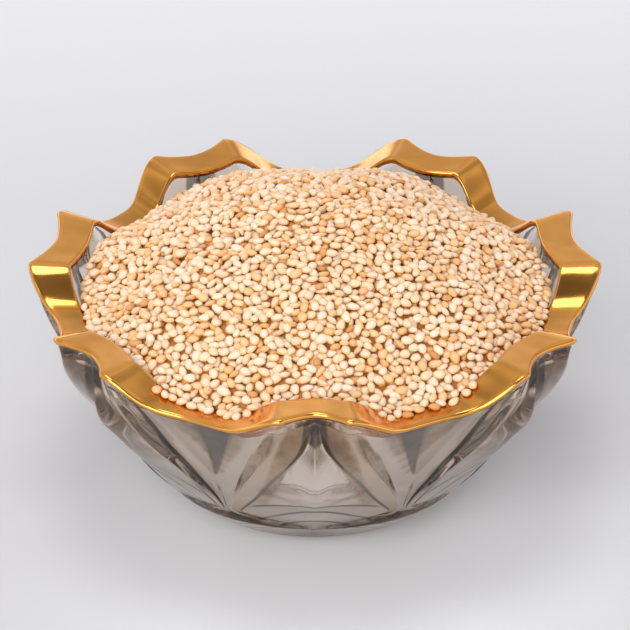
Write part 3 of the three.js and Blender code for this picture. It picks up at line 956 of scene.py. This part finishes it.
def core_paint():
    """Painted shade in the gaps between the loose seeds: a dark orange brown on the core."""
    made, tree = material("heap_core")
    tone = speckle(tree, GAP_SHADE_LOW, GAP_SHADE_HIGH, scale=400, detail=3, spread=0.3)
    surface_of(tree, {"Base Color": tone, "Roughness": CORE_ROUGHNESS, "Specular IOR Level": CORE_SHEEN})
    return made


for kind, (dark, light) in TONES.items():
    seeds[kind].data.materials.append(husk(kind, dark, light))

heap_core.data.materials.append(core_paint())
heap_core.data.materials.append(wall_glint())
side_end = (SIDE_ROWS - 1) * column_count
material_index = np.zeros(len(heap_core.data.polygons), dtype=np.int32)
material_index[:side_end] = 1
material_index[-2 * column_count:-column_count] = 1
heap_core.data.polygons.foreach_set("material_index", material_index)
rounded = np.ones(len(material_index), dtype=bool)
rounded[side_end:side_end + column_count] = False
heap_core.data.polygons.foreach_set("use_smooth", rounded)

# painted shade: the gilding is darker in the valleys, beside the seeds
VALLEY_SHADE_ANGLE, VALLEY_SHADE_FADE = 12.0, 8.0
VALLEY_SHADE_ROW, VALLEY_SHADE_ROWS = 6, 5          # rows from the hem to where it starts, and over which it deepens
column_angles = np.tile(np.concatenate([angles[:0:-1], angles[:-1]]), LOBES)
shade = np.outer(
    ramp_up(np.arange(len(outer)), VALLEY_SHADE_ROW, VALLEY_SHADE_ROWS), ramp_up(column_angles, VALLEY_SHADE_ANGLE, VALLEY_SHADE_FADE))
vertex_values(rim_gilding, "shaded", np.concatenate([shade, shade[::-1]]))

# at heights, the angles where the groove, the crest and the small facet are seen before the core
GROOVE_SEEN = ((17, 22), (22, 17.3), (29, 13), (40, 7.4), (50, 2.2), (60, 1.6))
CREST_SEEN = ((17, 22), (22, 21.6), (29, 19), (40, 15), (50.5, 12), (60, 9.3))
FACET_SEEN = ((33, HALF + 2), (52, 16), (60, 15))
# where the painted brown shade starts and how it fades in
SHADED_BROWN_FROM, SHADED_BROWN_FADE, FACET_SHADED_BROWN = 24.0, 4.0, 0.8
MIRROR_FROM, MIRROR_FADE = 22.0, 10.0
MIRROR_PANEL, MIRROR_KITE, MIRROR_SIDE, MIRROR_LOW = 0.8, 0.1, 0.75, 0.2
KITE_AZIMUTH = 40.0      # the front panel's neighbours mirror less, up to this far round
side_height = core_grid[:SIDE_ROWS, :, 2]
seen_height = side_height + LOOK_DOWN


def seen_line(points):
    """The angle of a line of the outside before each point of the core's side."""
    heights, line_angles = zip(*points)
    return np.interp(seen_height, heights, line_angles)


# behind the ribs and the small facets under the valleys the seeds' brown shows through, darkened with
# painted shade
groove_seen = seen_line(GROOVE_SEEN)
behind_rib = ramp_up(column_angles, groove_seen, 1) * np.clip(seen_line(CREST_SEEN) - column_angles, 0, 1)
behind_rib *= ramp_up(seen_height, SHADED_BROWN_FROM, SHADED_BROWN_FADE)
behind_facet = ramp_up(column_angles, seen_line(FACET_SEEN), 1)
vertex_values(heap_core, "shaded_brown", np.maximum(behind_rib, behind_facet * FACET_SHADED_BROWN))
signed = np.concatenate([-angles[:0:-1], angles[:-1]])
column_turn = (np.add.outer(np.arange(LOBES) * PERIOD, signed).ravel() + 180) % 360 - 180
kite = np.where(np.abs(column_turn) < KITE_AZIMUTH, MIRROR_KITE, MIRROR_SIDE)
polish = np.where(column_angles > groove_seen + 1, kite, MIRROR_PANEL)
glint = mix(MIRROR_LOW, polish, ramp_up(side_height, MIRROR_FROM, MIRROR_FADE))
vertex_values(heap_core, "mirror", glint, rest=MIRROR_LOW)

for piece, paint, slot in (
        (dish_glass, smoky_glass(), "smoky_glass"), (rim_gilding, gilding(), "gilding")):
    piece.data.materials.append(paint)

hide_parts("bowl")
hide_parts("seeds")
for piece in (dish_glass, rim_gilding, heap_core, *seeds.values()):
    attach(piece, "root")

# ---- floor, light and camera ----
FLOOR_SIZE, FLOOR_LEVEL = 2500.0, -0.05
POOL_LIGHT_MIDDLE = (0.01, -0.045, 0)      # where the painted light round the dish is brightest, in metres
POOL_LIGHT_FADE, PAPER_BACK = (0.03, 0.105), (-0.1, 0.3)
# painted light on the paper: a paler pool round the dish, and light growing towards the back
POOL_LIGHT_LOW, POOL_LIGHT_HIGH = (0.78, 0.785, 0.81), (0.80, 0.805, 0.83)
PAPER_LIGHT_FALLOFF = ((0.0, (0.62, 0.615, 0.635)), (0.6, (0.655, 0.65, 0.67)), (1.0, (0.80, 0.795, 0.82)))
PAPER_ROUGHNESS = 0.7


def paper():
    """Matt paper with painted light: a paler pool round the dish, and paler towards the back."""
    made, tree = material("paper")
    place = place_on(tree)
    away = node(tree, "ShaderNodeVectorMath", {0: place, 1: POOL_LIGHT_MIDDLE}, operation="DISTANCE")
    fade = mapped(tree, away.outputs["Value"], POOL_LIGHT_FADE)
    near = speckle(tree, POOL_LIGHT_LOW, POOL_LIGHT_HIGH, scale=25, detail=6, spread=0.4)
    far = colour_ramp(tree, mapped(tree, part_of(tree, place, "Y"), PAPER_BACK, easing="LINEAR"), PAPER_LIGHT_FALLOFF)
    surface_of(tree, {"Base Color": blended(tree, fade, near, far), "Roughness": PAPER_ROUGHNESS})
    return made


floor_corners = np.array([(-1, -1, 0), (1, -1, 0), (1, 1, 0), (-1, 1, 0)]) * FLOOR_SIZE + (0, 0, FLOOR_LEVEL)
floor = mesh_object("floor", floor_corners, [np.array([[0, 1, 2, 3]])], smooth=False)
floor.data.materials.append(paper())

# grey levels of the room from straight down (0) to straight up (1)
ROOM = ((0.0, 2.1), (0.12, 1.9), (0.26, 1.25), (0.42, 0.98), (0.62, 0.9), (0.85, 0.95), (1.0, 1.0))
ROOM_BLUE = 1.02
ROOM_STRENGTH = 0.76
DARK_TOWARD, DARK_EDGE, DARK_LEVEL = (0, -0.57, 0.82), (0.80, 0.95), 0.3
PANEL_SCALE, PANEL_DETAIL = 3.2, 1.0
PANEL_EDGE, PANEL_LEVELS = (0.38, 0.62), (0.72, 1.30)


def studio():
    """The room round the dish, which the glass and the gilding show."""
    world = bpy.data.worlds.new("studio")
    world.use_nodes = True
    tree = world.node_tree
    toward = place_on(tree, "Generated")
    stops = [(place, (level, level, level * ROOM_BLUE)) for place, level in ROOM]
    room = colour_ramp(tree, part_of(tree, toward, "Z"), stops)
    # the dark above and in front
    facing = node(tree, "ShaderNodeVectorMath", {0: toward, 1: DARK_TOWARD}, operation="DOT_PRODUCT")
    dimmed = scaled(tree, room, mapped(tree, facing.outputs["Value"], DARK_EDGE, (1.0, DARK_LEVEL)))
    # lighter and darker panels
    panels = noise(tree, toward, PANEL_SCALE, PANEL_DETAIL)
    uneven = scaled(tree, dimmed, mapped(tree, panels, PANEL_EDGE, PANEL_LEVELS, easing="LINEAR"))
    fill(tree, tree.nodes["Background"], {"Color": uneven, "Strength": ROOM_STRENGTH})
    return world


scene = bpy.context.scene
scene.view_settings.view_transform = "Standard"
scene.world = studio()


def softbox(name, place, aim, width, depth, watts):
    """A soft rectangular lamp at a place, turned to a point, in millimetres."""
    lamp = bpy.data.lights.new(name, "AREA")
    lamp.shape = "RECTANGLE"
    lamp.size, lamp.size_y = width * MM, depth * MM
    lamp.energy = watts
    obj = bpy.data.objects.new(name, lamp)
    scene.collection.objects.link(obj)
    obj.location = np.array(place, float) * MM
    x, y, z = np.array(aim, float) * MM - np.array(place, float) * MM
    obj.rotation_euler = Euler((math.atan2(math.hypot(x, y), -z), 0, math.atan2(y, x) - math.pi / 2))


softbox("overhead", place=(-60, 60, 1100), aim=(0, 0, 40), width=420, depth=420, watts=2.5)
softbox("front", place=(-400, -1250, 900), aim=(0, 0, 0), width=1200, depth=900, watts=15)

CAMERA_PLACE = (0, -0.8343, 0.5522)
CAMERA_DOWN = 31.18      # degrees below level
CAMERA_SENSOR, CAMERA_LENS, CAMERA_NEAR = 36, 211.7, 0.05
camera = bpy.data.objects.new("camera", bpy.data.cameras.new("camera"))
camera.location = CAMERA_PLACE
camera.rotation_euler = (math.radians(90 - CAMERA_DOWN), 0, 0)
camera.data.sensor_width = CAMERA_SENSOR
camera.data.lens = CAMERA_LENS
camera.data.clip_start = CAMERA_NEAR
scene.collection.objects.link(camera)
scene.camera = camera
